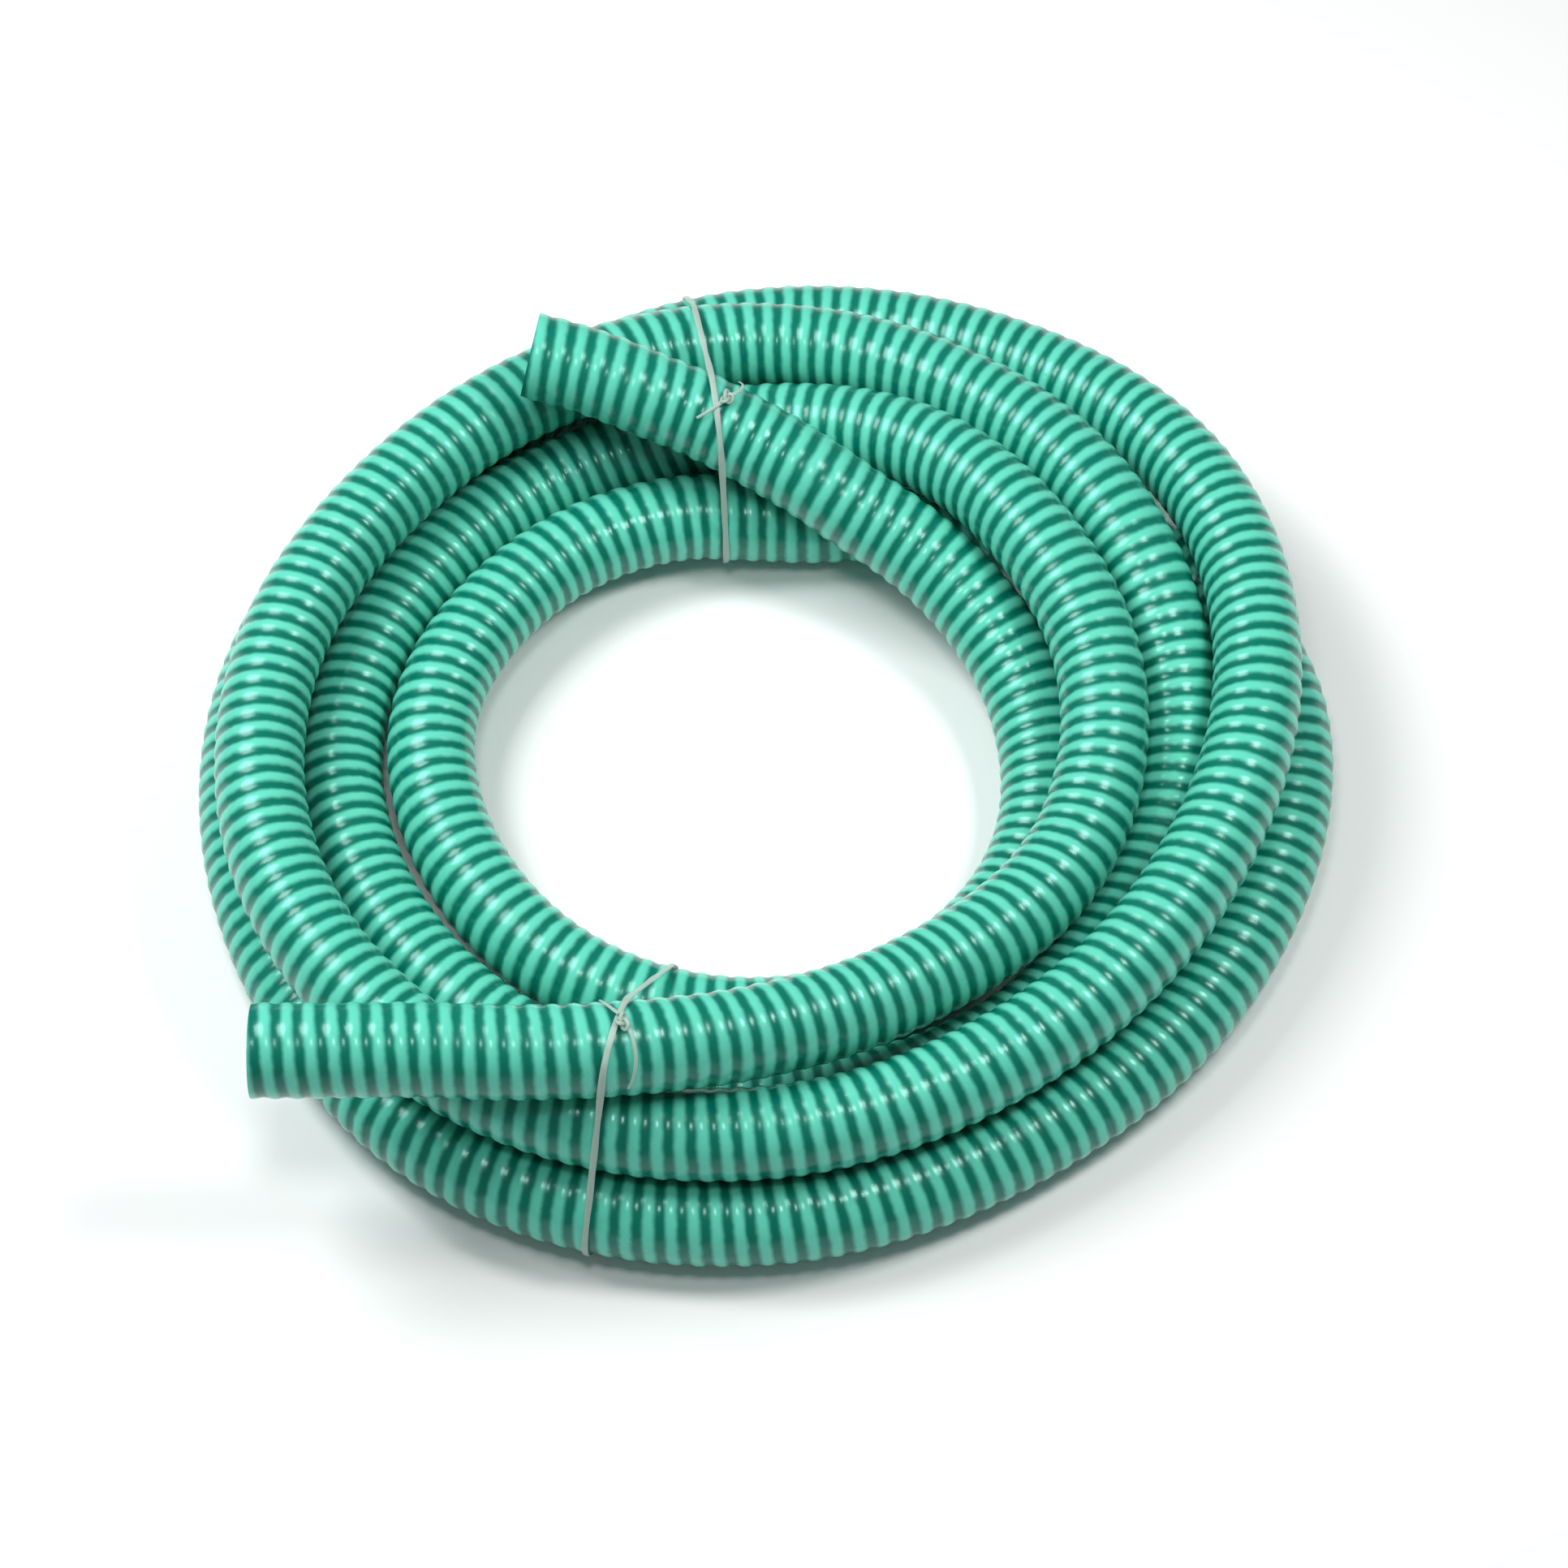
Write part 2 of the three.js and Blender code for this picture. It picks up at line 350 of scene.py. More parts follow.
def ribbed_hose_tree():
    """Tree that rolls a grid into a ribbed tube along a line.

    The grid's rows run along the spiral rib, so a rib's edge is always a mesh line. After the last
    row of the outside the grid turns back through the bore and closes on its first row.
    """
    tree = new_geometry_tree(
        "Ribbed Hose",
        [
            ("Outside Diameter", "NodeSocketFloat"),
            ("Wall", "NodeSocketFloat"),
            ("Rib Pitch", "NodeSocketFloat"),
            ("Rib Height", "NodeSocketFloat"),
            ("Rows per Rib", "NodeSocketInt"),
            ("Sides", "NodeSocketInt"),
            ("Bore Rows", "NodeSocketInt"),
            ("Material", "NodeSocketMaterial"),
        ],
    )
    make = TreeBuilder(tree)
    given = make.node("NodeGroupInput").outputs
    curve = make.node("GeometryNodeMeshToCurve", {"Mesh": given["Geometry"]})
    upright = make.node(
        "GeometryNodeSetCurveNormal", {"Curve": curve.outputs["Curve"]}, mode="Z_UP"
    ).outputs["Curve"]
    length = make.node("GeometryNodeCurveLength", {"Curve": upright}).outputs["Length"]

    ribs = make.math("DIVIDE", length, given["Rib Pitch"])
    outside_rows = make.math(
        "CEIL", make.math("MULTIPLY", make.math("ADD", ribs, 1), given["Rows per Rib"])
    )
    all_rows = make.math("ADD", make.math("ADD", outside_rows, given["Bore Rows"]), 2)
    columns = make.math("ADD", given["Sides"], 1)
    grid = make.node("GeometryNodeMeshGrid", {"Vertices X": all_rows, "Vertices Y": columns})

    index = make.node("GeometryNodeInputIndex").outputs["Index"]
    row = make.math("FLOOR", make.math("DIVIDE", make.math("ADD", index, 0.5), columns))
    column = make.math("SUBTRACT", index, make.math("MULTIPLY", row, columns))
    turn = make.math("DIVIDE", column, given["Sides"])

    # Distance along the hose: forwards on the outside, then back through the bore.
    spiral = make.math("ADD", make.math("DIVIDE", row, given["Rows per Rib"]), turn)
    outside_reach = make.math(
        "MULTIPLY", make.math("SUBTRACT", spiral, 1), given["Rib Pitch"]
    )
    bore_row = make.math("SUBTRACT", row, make.math("ADD", outside_rows, 1))
    bore_share = make.math(
        "DIVIDE", bore_row, make.math("SUBTRACT", given["Bore Rows"], 1), clamp=True
    )
    bore_reach = make.math("MULTIPLY", make.math("SUBTRACT", 1, bore_share), length)
    past_outside = make.math("GREATER_THAN", bore_row, -0.5)
    reach = make.blend(past_outside, outside_reach, bore_reach)
    along = make.math("MINIMUM", make.math("MAXIMUM", reach, 0), length)
    closing_row = make.math("GREATER_THAN", row, make.math("SUBTRACT", all_rows, 1.5))
    in_bore = make.math("SUBTRACT", past_outside, closing_row)

    # Distance from the centre line: the rib's wave outside, and plain in the bore.
    rib_turn = make.math("DIVIDE", along, given["Rib Pitch"])
    phase = make.math("MULTIPLY", make.math("SUBTRACT", rib_turn, turn), math.tau)
    half_wave = make.math("MULTIPLY", make.math("COSINE", phase), 0.5)
    groove = make.math("MULTIPLY", make.math("SUBTRACT", 0.5, half_wave), given["Rib Height"])
    outside_radius = make.math("MULTIPLY", given["Outside Diameter"], 0.5)
    bore_radius = make.math("SUBTRACT", outside_radius, given["Wall"])
    radius = make.blend(in_bore, make.math("SUBTRACT", outside_radius, groove), bore_radius)

    sample = make.node(
        "GeometryNodeSampleCurve", {"Curves": upright, "Length": along}, mode="LENGTH"
    )
    tangent, normal = sample.outputs["Tangent"], sample.outputs["Normal"]
    sideways = make.vector_math("CROSS_PRODUCT", tangent, normal)
    angle = make.math("MULTIPLY", turn, math.tau)
    spoke = make.vector_math(
        "ADD",
        make.vector_math("SCALE", normal, make.math("COSINE", angle)),
        make.vector_math("SCALE", sideways, make.math("SINE", angle)),
    )
    place = make.vector_math(
        "ADD", sample.outputs["Position"], make.vector_math("SCALE", spoke, radius)
    )

    marks = make.node("ShaderNodeCombineXYZ", {"X": rib_turn, "Y": turn, "Z": in_bore})
    capture = make.node("GeometryNodeCaptureAttribute", {"Geometry": grid.outputs["Mesh"]})
    capture.capture_items.new("VECTOR", "Marks")
    capture.capture_items.new("VECTOR", "Place")
    make.feed(capture.inputs["Marks"], marks.outputs["Vector"])
    make.feed(capture.inputs["Place"], place)
    rolled = make.node(
        "GeometryNodeSetPosition",
        {"Geometry": capture.outputs["Geometry"], "Position": capture.outputs["Place"]},
    )
    with_uv = make.node(
        "GeometryNodeStoreNamedAttribute",
        {
            "Geometry": rolled.outputs["Geometry"],
            "Name": UV_NAME,
            "Value": capture.outputs["Marks"],
        },
        data_type="FLOAT2",
        domain="CORNER",
    )
    wall_depth = make.node("ShaderNodeSeparateXYZ", {"Vector": capture.outputs["Marks"]})
    with_depth = make.node(
        "GeometryNodeStoreNamedAttribute",
        {
            "Geometry": with_uv.outputs["Geometry"],
            "Name": WALL_DEPTH,
            "Value": wall_depth.outputs["Z"],
        },
        data_type="FLOAT",
        domain="CORNER",
    )
    merged = make.node(
        "GeometryNodeMergeByDistance",
        {"Geometry": with_depth.outputs["Geometry"], "Distance": WELD_DISTANCE},
    )
    edge_angle = make.node("GeometryNodeInputMeshEdgeAngle").outputs["Unsigned Angle"]
    sharp = make.node(
        "GeometryNodeStoreNamedAttribute",
        {
            "Geometry": merged.outputs["Geometry"],
            "Name": "sharp_edge",
            "Value": make.math("GREATER_THAN", edge_angle, SHARP_ANGLE),
        },
        data_type="BOOLEAN",
        domain="EDGE",
    )
    smooth = make.node(
        "GeometryNodeSetShadeSmooth", {"Geometry": sharp.outputs["Geometry"], "Shade Smooth": True}
    )
    outward = make.node("GeometryNodeFlipFaces", {"Mesh": smooth.outputs["Geometry"]})
    finish_tree(make, outward.outputs["Mesh"], given["Material"])
    return tree


def finish_tree(make, geometry, material):
    """Ends a tree in Realize Instances and Set Material."""
    real = make.node("GeometryNodeRealizeInstances", {"Geometry": geometry})
    coloured = make.node(
        "GeometryNodeSetMaterial", {"Geometry": real.outputs["Geometry"], "Material": material}
    )
    make.node("NodeGroupOutput", {"Geometry": coloured.outputs["Geometry"]})


def hose_material(sizes):
    """Glossy plastic with a pale rigid rib wound through a darker flexible wall."""
    material, make = new_material("Spiral Rib Plastic")
    uv = make.node("ShaderNodeUVMap", uv_map=UV_NAME).outputs["UV"]
    parts = make.node("ShaderNodeSeparateXYZ", {"Vector": uv})
    along, turn = parts.outputs["X"], parts.outputs["Y"]
    place = make.node("ShaderNodeTexCoord").outputs["Object"]

    # How pale the plastic is: the rib's wave, with edges that wander a little.
    wander = make.noise(place, 160.0, 2.0)
    shift = make.math("MULTIPLY", make.math("SUBTRACT", wander, 0.5), 0.16)
    phase = make.math("ADD", make.math("SUBTRACT", along, turn), shift)
    wave = make.math("COSINE", make.math("MULTIPLY", phase, math.tau))
    band = make.node(
        "ShaderNodeMapRange",
        {"Value": wave, "From Min": -0.85, "From Max": 0.85},
        interpolation_type="SMOOTHSTEP",
    ).outputs["Result"]

    # Both colours drift slowly along the hose.
    drift = make.noise(place, 14.0, 3.0)
    dark = make.blend_colour(drift, sizes.web_colour, sizes.web_shade)
    pale = make.blend_colour(drift, sizes.rib_colour, sizes.rib_shade)
    colour = make.blend_colour(band, dark, pale)

    # The bore shows the same plastic, painted darker toward the wall's second colour: painted shade
    # inside the hose.
    depth = make.node("ShaderNodeAttribute", attribute_name=WALL_DEPTH).outputs["Fac"]
    bore_painted_shade = make.blend_colour(make.math("MULTIPLY", depth, 0.55), colour, sizes.web_shade)

    # Scuffs dull the gloss in places, and fine grain breaks up the highlights.
    scuffs = make.noise(place, 45.0, 6.0, roughness=0.7)
    roughness = make.node(
        "ShaderNodeMapRange",
        {"Value": scuffs, "From Min": 0.35, "From Max": 0.7, "To Min": 0.2, "To Max": 0.3},
    ).outputs["Result"]
    grain = make.noise(place, 700.0, 3.0)
    bump = make.node(
        "ShaderNodeBump", {"Height": grain, "Strength": 0.12, "Distance": 0.0003}
    ).outputs["Normal"]

    finish_material(
        make,
        {
            "Base Color": bore_painted_shade,
            "Roughness": roughness,
            "Normal": bump,
            "IOR": 1.5,
            "Specular IOR Level": 0.5,
            "Specular Tint": (0.65, 1.0, 0.93, 1),
        },
    )
    return material


class DeliveryHoseSizes(bpy.types.PropertyGroup):
    """Sizes and colours of the hose."""

    outside_diameter: bpy.props.FloatProperty(
        name="Outside Diameter",
        description="Diameter over the ribs. The whole coil scales with it",
        default=0.0384,
        min=0.005,
        max=0.1,
        subtype="DISTANCE",
        unit="LENGTH",
    )
    wall: bpy.props.FloatProperty(
        name="Wall",
        description="Thickness of the wall at the ribs",
        default=0.0032,
        min=0.0005,
        max=0.01,
        subtype="DISTANCE",
        unit="LENGTH",
    )
    rib_pitch: bpy.props.FloatProperty(
        name="Rib Pitch",
        description="Distance from one turn of the spiral rib to the next",
        default=0.0088,
        min=0.002,
        max=0.03,
        subtype="DISTANCE",
        unit="LENGTH",
    )
    rib_height: bpy.props.FloatProperty(
        name="Rib Height",
        description="How far the rib stands out over the wall between its turns",
        default=0.0007,
        min=0.0,
        max=0.003,
        subtype="DISTANCE",
        unit="LENGTH",
    )
    rows_per_rib: bpy.props.IntProperty(
        name="Rows per Rib",
        description="Mesh rows over one turn of the rib",
        default=6,
        min=4,
        max=12,
    )
    sides: bpy.props.IntProperty(
        name="Sides",
        description="Mesh faces round the hose",
        default=24,
        min=12,
        max=48,
    )
    bore_rows: bpy.props.IntProperty(
        name="Bore Rows",
        description="Mesh rows along the whole of the bore",
        default=320,
        min=100,
        max=1000,
    )
    rib_colour: bpy.props.FloatVectorProperty(
        name="Rib Colour",
        description="Colour of the rigid spiral rib",
        default=(0.1, 0.59, 0.44),
        min=0.0,
        max=1.0,
        subtype="COLOR",
    )
    rib_shade: bpy.props.FloatVectorProperty(
        name="Rib Shade",
        description="Second colour that the rib drifts to along the hose",
        default=(0.13, 0.63, 0.48),
        min=0.0,
        max=1.0,
        subtype="COLOR",
    )
    web_colour: bpy.props.FloatVectorProperty(
        name="Web Colour",
        description="Colour of the flexible wall between the turns of the rib",
        default=(0.0, 0.175, 0.12),
        min=0.0,
        max=1.0,
        subtype="COLOR",
    )
    # Web Shade is also the colour that the bore is painted toward, as painted shade inside the
    # hose.
    web_shade: bpy.props.FloatVectorProperty(
        name="Web Shade",
        description="Second colour that the wall drifts to along the hose",
        default=(0.0, 0.135, 0.094),
        min=0.0,
        max=1.0,
        subtype="COLOR",
    )


class DELIVERYHOSE_OT_make_hose(bpy.types.Operator):
    """Make the hose along its coiled route"""

    bl_idname = "delivery_hose.make_hose"
    bl_label = "Hose"
    bl_options = {"REGISTER", "UNDO"}

    def execute(self, context):
        sizes = context.scene.delivery_hose
        name = "ribbed_hose"
        remove_object(name)
        hose = line_object(name, centre_line(sizes.outside_diameter, CENTRE_LINE_STEP))
        apply_tree(
            hose,
            ribbed_hose_tree(),
            {
                "Outside Diameter": sizes.outside_diameter,
                "Wall": sizes.wall,
                "Rib Pitch": sizes.rib_pitch,
                "Rib Height": sizes.rib_height,
                "Rows per Rib": sizes.rows_per_rib,
                "Sides": sizes.sides,
                "Bore Rows": sizes.bore_rows,
                "Material": hose_material(sizes),
            },
        )
        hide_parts("hose")
        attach(hose, "root")
        return {"FINISHED"}


# Straps


def hose_frame(azimuth, diameter):
    """Point of the centre line, its direction, the level direction outwards from it, and up."""
    ahead = coil_point(min(azimuth + 0.5, END_AZIMUTH), diameter)
    behind = coil_point(max(azimuth - 0.5, START_AZIMUTH), diameter)
    along = (ahead - behind).normalized()
    outwards = Vector((along.y, -along.x, 0)).normalized()
    upwards = outwards.cross(along)
    return coil_point(azimuth, diameter), along, outwards, upwards


def strap_outline(azimuth, diameter, distance):
    """Outline of a strap in the upright plane at its azimuth, as [outwards, up] from the middle.

    It goes round every strand that crosses the plane, that far from their surface.
    """
    angle = math.radians(azimuth)
    outward = Vector((math.cos(angle), math.sin(angle), 0))
    across = Vector((math.sin(angle), -math.cos(angle), 0))
    points = []
    turn = azimuth
    while turn < END_AZIMUTH:
        first, last = max(turn - RING_REACH, START_AZIMUTH), min(turn + RING_REACH, END_AZIMUTH)
        for sample in range(round((last - first) / RING_SPACING) + 1):
            centre, _, sideways, upwards = hose_frame(first + sample * RING_SPACING, diameter)
            for side in range(RING_SIDES):
                spoke = math.tau * side / RING_SIDES
                arm = math.cos(spoke) * sideways + math.sin(spoke) * upwards
                point = centre + (diameter / 2 + distance) * arm
                if abs(point.dot(across)) < RING_SLICE:
                    points.append(Vector((point.dot(outward), point.z)))
        turn += 360
    return [points[index] for index in convex_hull_2d(points)]


def even_loop(points, spacing):
    """Points an even distance apart on a closed loop."""
    closed = points + points[:1]
    reach = [0.0]
    for before, after in zip(closed, closed[1:]):
        reach.append(reach[-1] + (after - before).length)
    count = round(reach[-1] / spacing)
    loop, piece = [], 0
    for index in range(count):
        distance = reach[-1] * index / count
        while reach[piece + 1] < distance:
            piece += 1
        share = (distance - reach[piece]) / (reach[piece + 1] - reach[piece])
        loop.append(closed[piece].lerp(closed[piece + 1], share))
    return loop


def strip_mesh(paths):
    """Mesh of flat strips with rounded edges.

    Each path is (points, normals, widths, thicknesses, closed). A normal stands on the flat side.
    """
    vertices, faces, uvs = [], [], []
    for points, normals, widths, thicknesses, closed in paths:
        count, base = len(points), len(vertices)
        for index in range(count):
            after = points[(index + 1) % count] if closed or index + 1 < count else points[index]
            before = points[index - 1] if closed or index > 0 else points[index]
            along = (after - before).normalized()
            normal = (normals[index] - along * normals[index].dot(along)).normalized()
            sideways = normal.cross(along)
            for side in range(STRIP_SIDES):
                spoke = math.tau * side / STRIP_SIDES
                vertices.append(
                    points[index]
                    + sideways * (widths[index] / 2 * math.cos(spoke))
                    + normal * (thicknesses[index] / 2 * math.sin(spoke))
                )
        rows = count if closed else count - 1
        for row in range(rows):
            start, end = base + row * STRIP_SIDES, base + (row + 1) % count * STRIP_SIDES
            for side in range(STRIP_SIDES):
                turned = (side + 1) % STRIP_SIDES
                faces.append((start + side, start + turned, end + turned, end + side))
                low, high = side / STRIP_SIDES, (side + 1) / STRIP_SIDES
                uvs += [(low, row), (high, row), (high, row + 1), (low, row + 1)]
        if not closed:
            last = base + (count - 1) * STRIP_SIDES
            faces.append(tuple(base + side for side in reversed(range(STRIP_SIDES))))
            faces.append(tuple(last + side for side in range(STRIP_SIDES)))
            uvs += [(0.5, 0)] * STRIP_SIDES + [(0.5, count)] * STRIP_SIDES
    mesh = bpy.data.meshes.new("strap")
    mesh.from_pydata(vertices, [], faces)
    layer = mesh.uv_layers.new(name=UV_NAME)
    layer.data.foreach_set("uv", [value for uv in uvs for value in uv])
    mesh.shade_smooth()
    return mesh


def band_path(azimuth, sizes, diameter):
    """Path of the band round the strands. Its film is pulled a little narrower in places."""
    angle = math.radians(azimuth)
    outward = Vector((math.cos(angle), math.sin(angle), 0))
    middle = coil_middle(diameter)
    outline = strap_outline(azimuth, diameter, sizes.clearance + sizes.thickness / 2)
    loop = even_loop(outline, STRIP_SPACING)
    if sum(a.cross(b) for a, b in zip(loop, loop[1:])) < 0:
        loop.reverse()
    points = [outward * point.x + Vector((0, 0, point.y)) - middle for point in loop]
    across = Vector((outward.y, -outward.x, 0))
    normals, widths = [], []
    for index in range(len(loop)):
        ahead, behind = points[(index + 1) % len(loop)], points[index - 1]
        along = (ahead - behind).normalized()
        normals.append(across.cross(along))
        pull = math.sin(index * BAND_WAVES[0] + azimuth) * math.sin(index * BAND_WAVES[1])
        widths.append(sizes.width * (1 + BAND_PULL * pull))
    return points, normals, widths, [sizes.thickness] * len(loop), True


def crown_frame(azimuth, diameter):
    """Frame of the highest strand under a strap."""
    turns = []
    turn = azimuth
    while turn < END_AZIMUTH:
        if turn > START_AZIMUTH:
            turns.append(turn)
        turn += 360
    highest = max(turns, key=lambda entry: station_value(entry, 2))
    centre, along, outwards, upwards = hose_frame(highest, diameter)
    return centre - coil_middle(diameter), along, outwards, upwards


def knot_path(azimuth, sizes, diameter):
    """Overhand knot that sits on the highest strand."""
    centre, along, outwards, upwards = crown_frame(azimuth, diameter)
    reach = diameter / 2 + sizes.clearance + sizes.knot_height / 2
    points, normals = [], []
    for index in range(KNOT_STEPS):
        turn = math.tau * index / KNOT_STEPS
        length = (math.sin(turn) + 2 * math.sin(2 * turn)) / 3
        width = (math.cos(turn) - 2 * math.cos(2 * turn)) / 3
        height = -math.sin(3 * turn)
        points.append(
            centre
            + upwards * (reach + height * sizes.knot_height * KNOT_WEAVE)
            + outwards * (length * sizes.knot_length * KNOT_SPREAD)
            + along * (width * sizes.knot_width * KNOT_SPREAD)
        )
        normals.append(upwards)
    widths = [sizes.width * KNOT_FILM_WIDTH] * KNOT_STEPS
    thicknesses = [sizes.thickness * KNOT_FILM_THICKNESS] * KNOT_STEPS
    return points, normals, widths, thicknesses, True


def tail_path(azimuth, sizes, diameter, turns, drift):
    """Loose end of the strap, which lies on the strand's side.

    It goes from the first to the last of the turns, in degrees from the top, and drifts along the
    hose from the first to the last of the given distances, by way of the middle one.
    """
    centre, along, outwards, upwards = crown_frame(azimuth, diameter)
    points, normals, widths, thicknesses = [], [], [], []
    for index in range(TAIL_STEPS):
        share = index / (TAIL_STEPS - 1)
        spoke = math.radians(turns[0] + (turns[1] - turns[0]) * share)
        arm = upwards * math.cos(spoke) + outwards * math.sin(spoke)
        left = 1 - share
        curve = left**2 * drift[0] + 2 * share * left * drift[1] + share**2 * drift[2]
        from_knot = sizes.knot_height * KNOT_WEAVE * left**4
        lift = sizes.clearance + sizes.thickness * TAIL_LIFT + from_knot
        points.append(centre + arm * (diameter / 2 + lift) + along * curve)
        normals.append(arm)
        widths.append(sizes.width * (TAIL_ROOT_WIDTH - TAIL_NARROWING * share))
        thicknesses.append(sizes.thickness)
    return points, normals, widths, thicknesses, False


def strap_material(sizes):
    """Thin clear plastic film, creased along its length, with painted shade in the dips of its
    creases.
    """
    material, make = new_material("Clear Film")
    uv = make.node("ShaderNodeUVMap", uv_map=UV_NAME).outputs["UV"]
    place = make.node("ShaderNodeTexCoord").outputs["Object"]
    stretched = make.node("ShaderNodeMapping", {"Vector": uv, "Scale": (9.0, 0.12, 1.0)})
    crease = make.noise(stretched.outputs["Vector"], 1.6, 4.0)
    cloud = make.noise(place, 60.0, 2.0)
    # The film is painted darker where its creases dip, which is painted shade in the creases, and
    # it is mottled at random by the cloud noise.
    shade = tuple(channel * 0.72 for channel in sizes.colour)
    mottle = make.math("MULTIPLY", make.math("ADD", crease, cloud), 0.5)
    colour = make.blend_colour(mottle, shade, sizes.colour)
    roughness = make.node(
        "ShaderNodeMapRange", {"Value": cloud, "To Min": 0.22, "To Max": 0.5}
    ).outputs["Result"]
    bump = make.node(
        "ShaderNodeBump", {"Height": crease, "Strength": 0.5, "Distance": 0.0004}
    ).outputs["Normal"]
    finish_material(
        make,
        {
            "Base Color": colour,
            "Roughness": roughness,
            "Normal": bump,
            "IOR": 1.48,
            "Alpha": sizes.opacity,
        },
    )
    return material


class DeliveryHoseStraps(bpy.types.PropertyGroup):
    """Sizes and colour of the straps."""

    width: bpy.props.FloatProperty(
        name="Width",
        description="Width of the strap's film",
        default=0.0028,
        min=0.001,
        max=0.02,
        subtype="DISTANCE",
        unit="LENGTH",
    )
    thickness: bpy.props.FloatProperty(
        name="Thickness",
        description="Thickness of the folded film",
        default=0.0008,
        min=0.0001,
        max=0.003,
        subtype="DISTANCE",
        unit="LENGTH",
    )
    clearance: bpy.props.FloatProperty(
        name="Clearance",
        description="Gap between the strap and the hose's surface",
        default=0.0003,
        min=0.0,
        max=0.003,
        subtype="DISTANCE",
        unit="LENGTH",
    )
    knot_length: bpy.props.FloatProperty(
        name="Knot Length",
        description="Length of the knot along the strap",
        default=0.009,
        min=0.002,
        max=0.03,
        subtype="DISTANCE",
        unit="LENGTH",
    )
    knot_width: bpy.props.FloatProperty(
        name="Knot Width",
        description="Width of the knot across the strap",
        default=0.006,
        min=0.002,
        max=0.03,
        subtype="DISTANCE",
        unit="LENGTH",
    )
    knot_height: bpy.props.FloatProperty(
        name="Knot Height",
        description="How far the knot stands up from the hose",
        default=0.0036,
        min=0.001,
        max=0.02,
        subtype="DISTANCE",
        unit="LENGTH",
    )
    colour: bpy.props.FloatVectorProperty(
        name="Colour",
        description="Colour of the film",
        default=(0.56, 0.72, 0.64),
        min=0.0,
        max=1.0,
        subtype="COLOR",
    )
    opacity: bpy.props.FloatProperty(
        name="Opacity",
        description="How much of what lies behind it the film hides",
        default=0.62,
        min=0.0,
        max=1.0,
        subtype="FACTOR",
    )


class DELIVERYHOSE_OT_make_straps(bpy.types.Operator):
    """Make the two straps that hold the coil, each with its knot and loose ends"""

    bl_idname = "delivery_hose.make_straps"
    bl_label = "Straps"
    bl_options = {"REGISTER", "UNDO"}

    def execute(self, context):
        sizes = context.scene.delivery_hose_straps
        diameter = context.scene.delivery_hose.outside_diameter
        film = strap_material(sizes)
        for node, azimuth, tails in STRAPS:
            name = f"{node}_film"
            remove_object(name)
            paths = [
                band_path(azimuth, sizes, diameter),
                knot_path(azimuth, sizes, diameter),
            ]
            for turns, drift in tails:
                paths.append(tail_path(azimuth, sizes, diameter, turns, drift))
            mesh = strip_mesh(paths)
            mesh.name = name
            mesh.materials.append(film)
            strap = bpy.data.objects.new(name, mesh)
            context.collection.objects.link(strap)
            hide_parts(node)
            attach(strap, "root")
        return {"FINISHED"}


# Stage


def floor_material(colour):
    """Smooth pale floor with a very faint mottle."""
    material, make = new_material("Pale Floor")
    place = make.node("ShaderNodeTexCoord").outputs["Object"]
    mottle = make.noise(place, 3.0, 4.0)
    shade = tuple(channel * 0.985 for channel in colour)
    finish_material(
        make, {"Base Color": make.blend_colour(mottle, colour, shade), "Roughness": 0.7}
    )
    return material


def aimed(place, target):
    """Transform that puts a light at a place, looking at a target."""
    turn = (Vector(target) - Vector(place)).to_track_quat("-Z", "Y")
    return Matrix.Translation(place) @ turn.to_matrix().to_4x4()


def soft_light(name, place, target, size, power, colour):
    """Square area light aimed at a target."""
    remove_object(name)
    lamp = bpy.data.lights.new(name, "AREA")
    lamp.shape = "SQUARE"
    lamp.size = size
    lamp.energy = power
    lamp.color = colour
    light = bpy.data.objects.new(name, lamp)
    bpy.context.collection.objects.link(light)
    light.matrix_world = aimed(place, target)


class DeliveryHoseStage(bpy.types.PropertyGroup):
    """Camera, lights and floor."""

    camera_place: bpy.props.FloatVectorProperty(
        name="Camera Place",
        description="Where the camera stands",
        default=(0.0077, -1.1183, 1.7145),
        subtype="TRANSLATION",
        unit="LENGTH",
    )
    camera_tilt: bpy.props.FloatProperty(
        name="Camera Tilt",
        description="How far the camera leans back from looking straight down",
        default=math.radians(33),
        subtype="ANGLE",
        unit="ROTATION",
    )
    field_of_view: bpy.props.FloatProperty(
        name="Field of View",
        description="Angle that the camera sees over its square frame",
        default=math.radians(19),
        subtype="ANGLE",
        unit="ROTATION",
    )
    floor_size: bpy.props.FloatProperty(
        name="Floor Size",
        description="Width of the square floor",
        default=12.0,
        subtype="DISTANCE",
        unit="LENGTH",
    )
    floor_colour: bpy.props.FloatVectorProperty(
        name="Floor Colour",
        description="Colour of the floor",
        default=(0.9, 0.905, 0.905),
        min=0.0,
        max=1.0,
        subtype="COLOR",
    )
    key_power: bpy.props.FloatProperty(
        name="Key Power",
        description="Power of the large light above the left side",
        default=19.0,
        min=0.0,
        unit="POWER",
    )
    side_power: bpy.props.FloatProperty(
        name="Side Power",
        description="Power of the small light above the right side",
        default=6.0,
        min=0.0,
        unit="POWER",
    )
    front_power: bpy.props.FloatProperty(
        name="Front Power",
        description="Power of the small light above the front",
        default=5.0,
        min=0.0,
        unit="POWER",
    )
    sky_strength: bpy.props.FloatProperty(
        name="Sky Strength",
        description="Brightness of the even light from all round",
        default=0.19,
        min=0.0,
    )


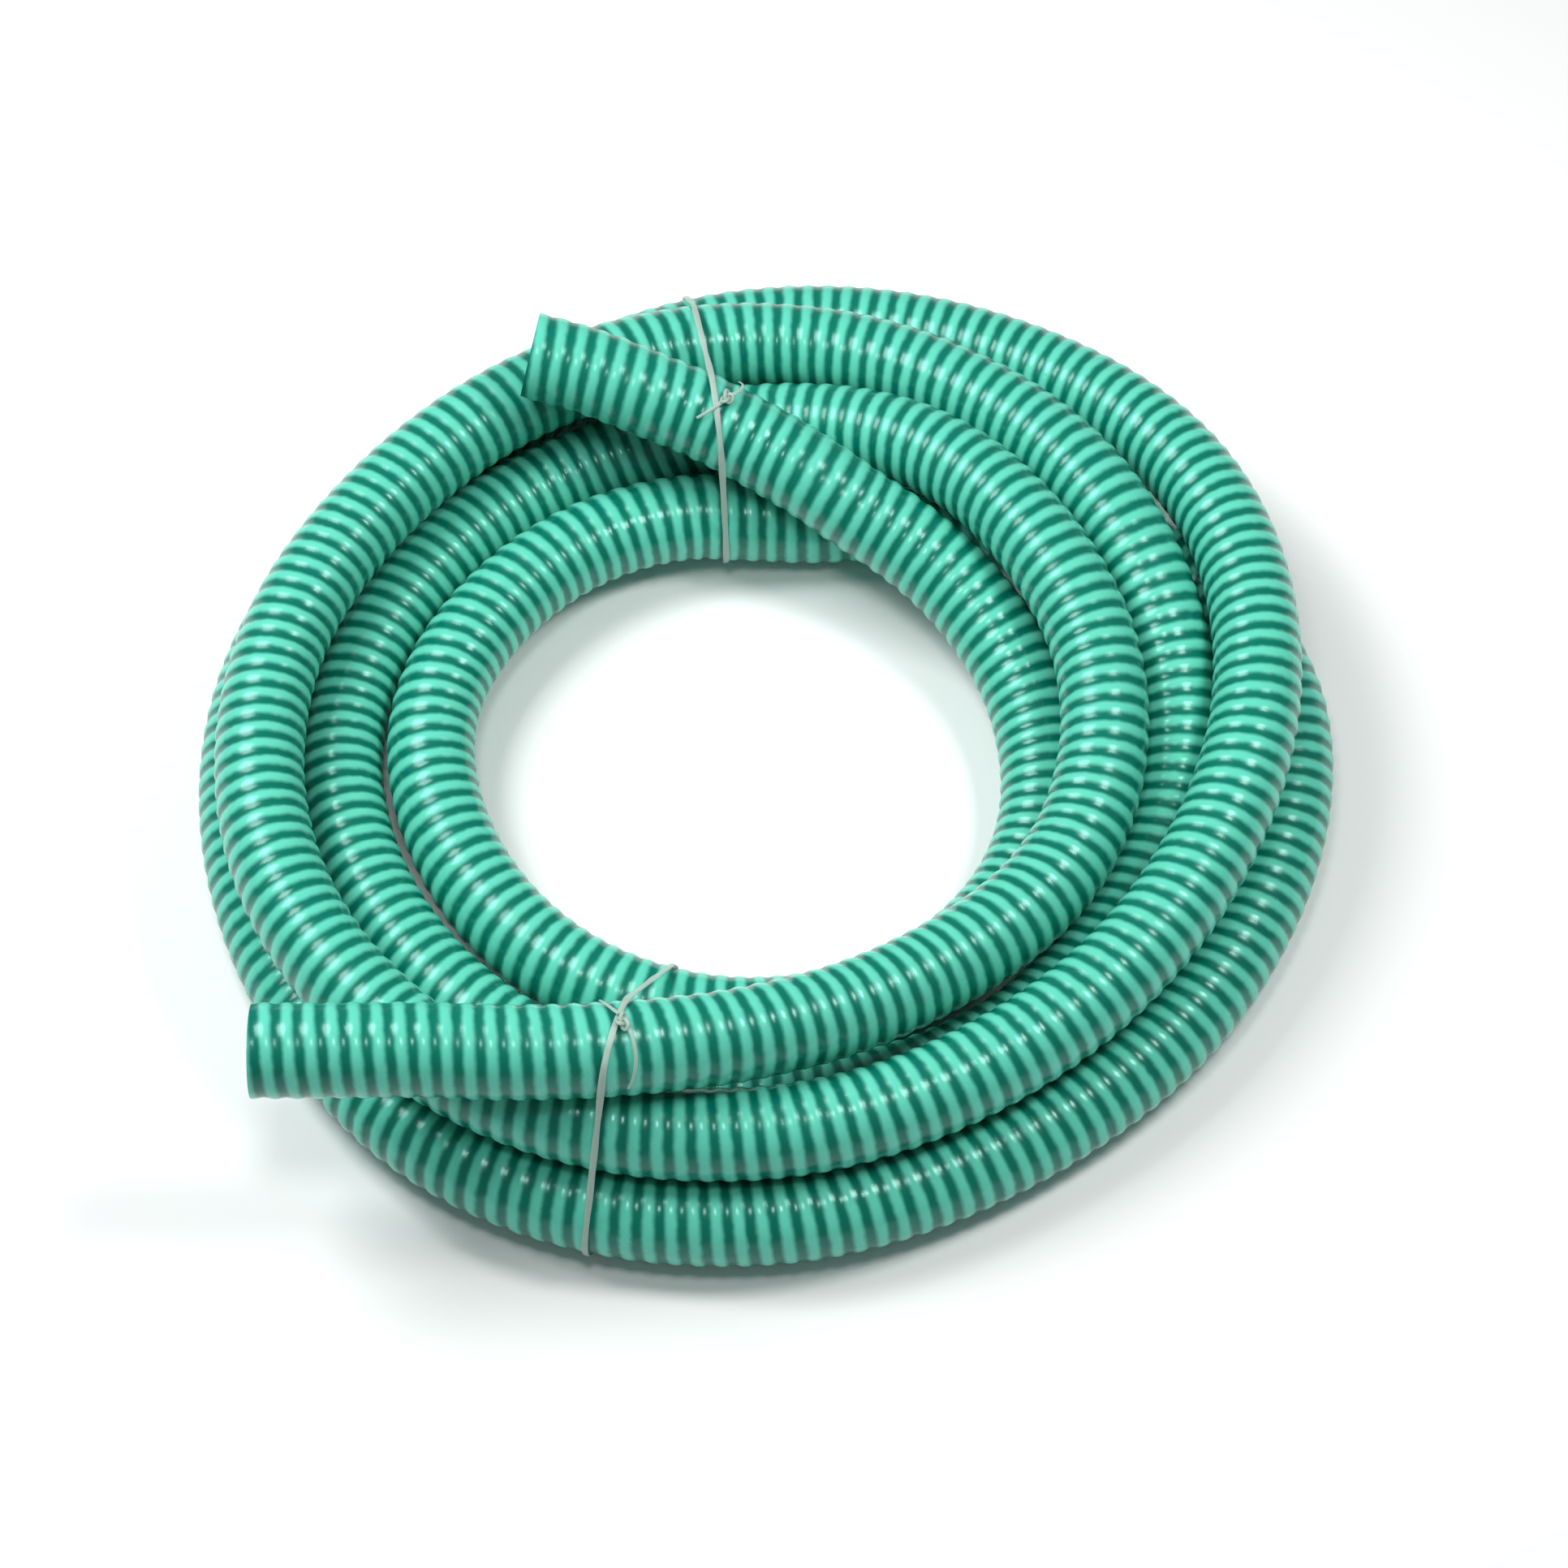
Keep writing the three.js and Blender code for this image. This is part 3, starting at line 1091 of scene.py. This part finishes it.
class DELIVERYHOSE_OT_make_stage(bpy.types.Operator):
    """Make the camera, the lights and the floor"""

    bl_idname = "delivery_hose.make_stage"
    bl_label = "Stage"
    bl_options = {"REGISTER", "UNDO"}

    def execute(self, context):
        stage = context.scene.delivery_hose_stage
        remove_object("stage_camera")
        lens = bpy.data.cameras.new("stage_camera")
        lens.sensor_fit = "HORIZONTAL"
        lens.angle = stage.field_of_view
        lens.clip_start = 0.01
        lens.clip_end = 50
        camera = bpy.data.objects.new("stage_camera", lens)
        context.collection.objects.link(camera)
        camera.location = stage.camera_place
        camera.rotation_euler = (stage.camera_tilt, 0, 0)
        context.scene.camera = camera

        remove_object("stage_floor")
        half = stage.floor_size / 2
        mesh = bpy.data.meshes.new("stage_floor")
        mesh.from_pydata(
            [(-half, -half, 0), (half, -half, 0), (half, half, 0), (-half, half, 0)],
            [],
            [(0, 1, 2, 3)],
        )
        mesh.materials.append(floor_material(stage.floor_colour))
        floor = bpy.data.objects.new("stage_floor", mesh)
        context.collection.objects.link(floor)

        powers = (stage.key_power, stage.side_power, stage.front_power)
        for (name, place, size, colour), power in zip(LIGHTS, powers):
            soft_light(name, place, LIGHT_TARGET, size, power, colour)

        world = bpy.data.worlds.new("Soft Sky")
        world.use_nodes = True
        background = world.node_tree.nodes["Background"]
        background.inputs["Color"].default_value = SKY_COLOUR
        background.inputs["Strength"].default_value = stage.sky_strength
        context.scene.world = world
        context.scene.view_settings.view_transform = "Standard"
        return {"FINISHED"}


# Add-on


class DELIVERYHOSE_PT_pieces(bpy.types.Panel):
    """Pieces of the delivery hose, with their sizes and colours"""

    bl_label = "Delivery Hose"
    bl_idname = "DELIVERYHOSE_PT_pieces"
    bl_space_type = "VIEW_3D"
    bl_region_type = "UI"
    bl_category = "Hose"

    def draw(self, context):
        groups = (
            (context.scene.delivery_hose_stage, DELIVERYHOSE_OT_make_stage),
            (context.scene.delivery_hose, DELIVERYHOSE_OT_make_hose),
            (context.scene.delivery_hose_straps, DELIVERYHOSE_OT_make_straps),
        )
        for group, operator in groups:
            box = self.layout.box()
            for name in group.__annotations__:
                box.prop(group, name)
            box.operator(operator.bl_idname)


CLASSES = (
    DeliveryHoseSizes,
    DeliveryHoseStraps,
    DeliveryHoseStage,
    DELIVERYHOSE_OT_make_stage,
    DELIVERYHOSE_OT_make_hose,
    DELIVERYHOSE_OT_make_straps,
    DELIVERYHOSE_PT_pieces,
)


def register():
    for entry in CLASSES:
        bpy.utils.register_class(entry)
    bpy.types.Scene.delivery_hose = bpy.props.PointerProperty(type=DeliveryHoseSizes)
    bpy.types.Scene.delivery_hose_straps = bpy.props.PointerProperty(type=DeliveryHoseStraps)
    bpy.types.Scene.delivery_hose_stage = bpy.props.PointerProperty(type=DeliveryHoseStage)


def unregister():
    del bpy.types.Scene.delivery_hose_stage
    del bpy.types.Scene.delivery_hose_straps
    del bpy.types.Scene.delivery_hose
    for entry in reversed(CLASSES):
        bpy.utils.unregister_class(entry)


def main():
    register()
    bpy.ops.delivery_hose.make_stage()
    bpy.ops.delivery_hose.make_hose()
    bpy.ops.delivery_hose.make_straps()


if __name__ == "__main__":
    main()
